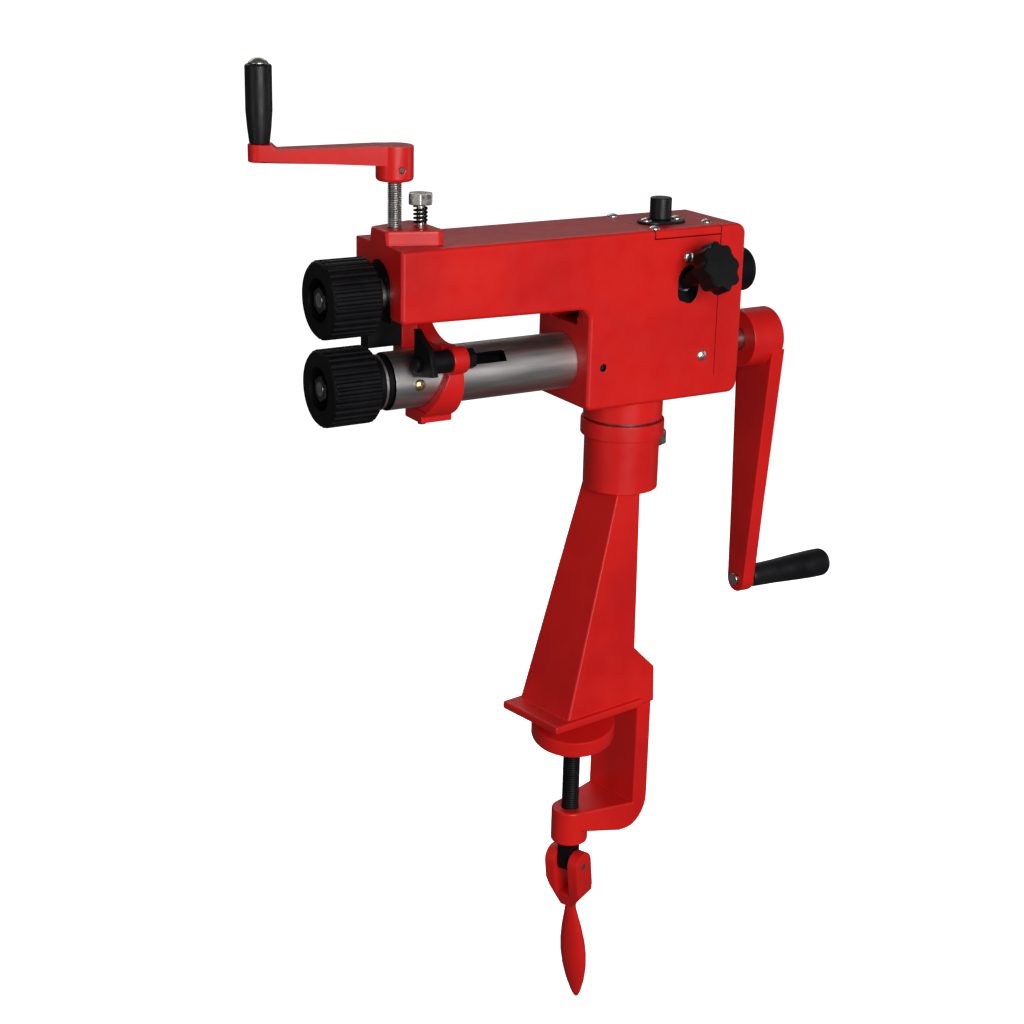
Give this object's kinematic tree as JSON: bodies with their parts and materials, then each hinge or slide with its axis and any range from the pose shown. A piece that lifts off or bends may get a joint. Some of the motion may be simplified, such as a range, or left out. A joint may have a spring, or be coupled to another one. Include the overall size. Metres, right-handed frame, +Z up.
{
  "type": "bead roller",
  "caption": "Hand cranked bench bead roller with swivelling head, hold-down screw, sliding guide and bench clamp.",
  "frame": {"origin": "swivel axis of the collar where it meets the bench face under the clamp plate", "axes": "+Z up along the swivel axis, +X along the shafts towards the hand crank, -Y is the side with the star knob"},
  "size_m": [0.4942, 0.119, 0.7653],
  "materials": {
    "red_paint": "semi-gloss",
    "black_oxide": "satin",
    "black_plastic": "satin",
    "zinc_plate": "satin",
    "bronze": "satin",
    "steel": "ground"
  },
  "bodies": {
    "stand": {"stand_casting": "red_paint"},
    "collar_bolt_body": {"collar_bolt": "zinc_plate"},
    "head": {"head_casting": "red_paint", "swivel_spigot": "steel", "collar_washer": "steel", "rear_cover": "red_paint", "top_cover": "red_paint", "cover_screws": "zinc_plate", "side_screws": "zinc_plate", "arm_tube": "steel", "tube_seal": "black_oxide", "tube_ring": "steel", "tube_screws": "bronze", "lower_front_bush": "bronze", "lower_rear_bush": "bronze", "upper_socket": "bronze", "hold_down_nut": "steel", "return_spring": "black_oxide", "plunger_flange": "black_plastic", "star_bush": "steel"},
    "lower_drive": {"lower_shaft": "steel", "lower_roll": "black_oxide", "lower_roll_washer": "black_oxide", "lower_roll_nut": "black_oxide", "lower_gear": "steel", "lower_gear_key": "steel", "crank_arm": "red_paint", "crank_hub_pin": "steel", "crank_grip_pin": "steel"},
    "crank_grip_body": {"crank_grip": "black_plastic"},
    "block": {"bearing_block": "black_oxide", "spring_bolt": "zinc_plate"},
    "hold_down": {"hold_down_screw": "steel", "hold_down_arm": "red_paint", "hold_down_hub_pin": "steel", "hold_down_grip_pin": "steel"},
    "hold_down_grip_body": {"hold_down_grip": "black_plastic"},
    "upper_carrier": {"front_swivel_bush": "bronze", "rear_swivel_bush": "bronze"},
    "upper_drive": {"upper_shaft": "steel", "upper_roll": "black_oxide", "upper_roll_washer": "black_oxide", "upper_roll_nut": "black_oxide", "upper_gear": "steel", "upper_gear_key": "steel"},
    "guide": {"guide_bracket": "red_paint", "fence_plate": "black_oxide", "far_fence": "black_oxide", "fence_bolt": "black_oxide", "guide_screw": "black_oxide"},
    "top_knob_body": {"top_knob": "black_plastic"},
    "star_knob_body": {"star_knob": "black_plastic"},
    "rear_knob_body": {"rear_knob": "black_plastic", "adjuster_screw": "steel"},
    "pad_carrier": {"pad_washer": "steel"},
    "clamp_screw_body": {"clamp_screw": "black_oxide", "lever_pin": "black_oxide"},
    "clamp_pad_body": {"clamp_pad": "red_paint"},
    "clamp_lever_body": {"clamp_lever": "red_paint"}
  },
  "joints": [
    {"name": "head_swivel", "type": "hinge", "parent": "stand", "child": "head", "pos_m": [0, 0, 0.2285], "axis": [0, 0, 1], "continuous": true},
    {"name": "collar_bolt_turn", "type": "hinge", "parent": "stand", "child": "collar_bolt_body", "pos_m": [0, 0, 0.208], "axis": [0.9877, 0.1564, 0], "range_deg": [0, 720]},
    {"name": "crank_turn", "type": "hinge", "parent": "head", "child": "lower_drive", "pos_m": [0, 0, 0.2783], "axis": [1, 0, 0], "continuous": true},
    {"name": "crank_grip_spin", "type": "hinge", "parent": "lower_drive", "child": "crank_grip_body", "pos_m": [0.16, 0, 0.0783], "axis": [1, 0, 0], "continuous": true},
    {"name": "block_travel", "type": "slide", "parent": "head", "child": "block", "axis": [0, 0, -1], "range_m": [0, 0.0054], "deforming": ["return_spring"]},
    {"name": "hold_down_turn", "type": "hinge", "parent": "block", "child": "hold_down", "pos_m": [-0.1939, 0, 0.46], "axis": [0, 0, -1], "range_deg": [0, 1296]},
    {"name": "hold_down_grip_spin", "type": "hinge", "parent": "hold_down", "child": "hold_down_grip_body", "pos_m": [-0.27575, 0.03644, 0.46], "axis": [0, 0, 1], "continuous": true},
    {"name": "upper_tilt", "type": "hinge", "parent": "head", "child": "upper_carrier", "pos_m": [0.05825, 0, 0.3396], "axis": [0, -1, 0], "range_deg": [0, 1.23]},
    {"name": "upper_spin", "type": "hinge", "parent": "upper_carrier", "child": "upper_drive", "pos_m": [0, 0, 0.3396], "axis": [1, 0, 0], "continuous": true},
    {"name": "guide_slide", "type": "slide", "parent": "head", "child": "guide", "axis": [1, 0, 0], "range_m": [-0.003, 0.08]},
    {"name": "top_knob_pull", "type": "slide", "parent": "head", "child": "top_knob_body", "axis": [0, 0, 1], "range_m": [0, 0.006], "stiffness_N_per_m": 400, "springref_m": -0.005},
    {"name": "star_knob_turn", "type": "hinge", "parent": "head", "child": "star_knob_body", "pos_m": [0.0296, -0.035, 0.3374], "axis": [0.2039, -0.8831, 0.4226], "range_deg": [0, 720]},
    {"name": "rear_knob_turn", "type": "hinge", "parent": "head", "child": "rear_knob_body", "pos_m": [0.08, -0.009, 0.335], "axis": [1, 0, 0], "range_deg": [0, 720]},
    {"name": "pad_travel", "type": "slide", "parent": "stand", "child": "pad_carrier", "axis": [0, 0, -1], "range_m": [0, 0.055]},
    {"name": "clamp_turn", "type": "hinge", "parent": "pad_carrier", "child": "clamp_screw_body", "pos_m": [-0.03901, -0.00618, -0.06], "axis": [0, 0, -1], "range_deg": [0, 4950]},
    {"name": "pad_swivel", "type": "hinge", "parent": "pad_carrier", "child": "clamp_pad_body", "pos_m": [-0.03901, -0.00618, -0.0158], "axis": [0.8517, -0.524, 0], "range_deg": [-24, 0]},
    {"name": "lever_fold", "type": "hinge", "parent": "clamp_screw_body", "child": "clamp_lever_body", "pos_m": [-0.03901, -0.00618, -0.135], "axis": [0.3907, -0.9205, 0], "range_deg": [-98, 82]}
  ],
  "couplings": [
    {"joint": "hold_down_turn", "follows": "block_travel", "rad_per_m": 4188.8},
    {"joint": "upper_tilt", "follows": "block_travel", "rad_per_m": 3.9659},
    {"joint": "upper_spin", "follows": "crank_turn", "ratio": -1},
    {"joint": "clamp_turn", "follows": "pad_travel", "rad_per_m": 1570.8}
  ]
}
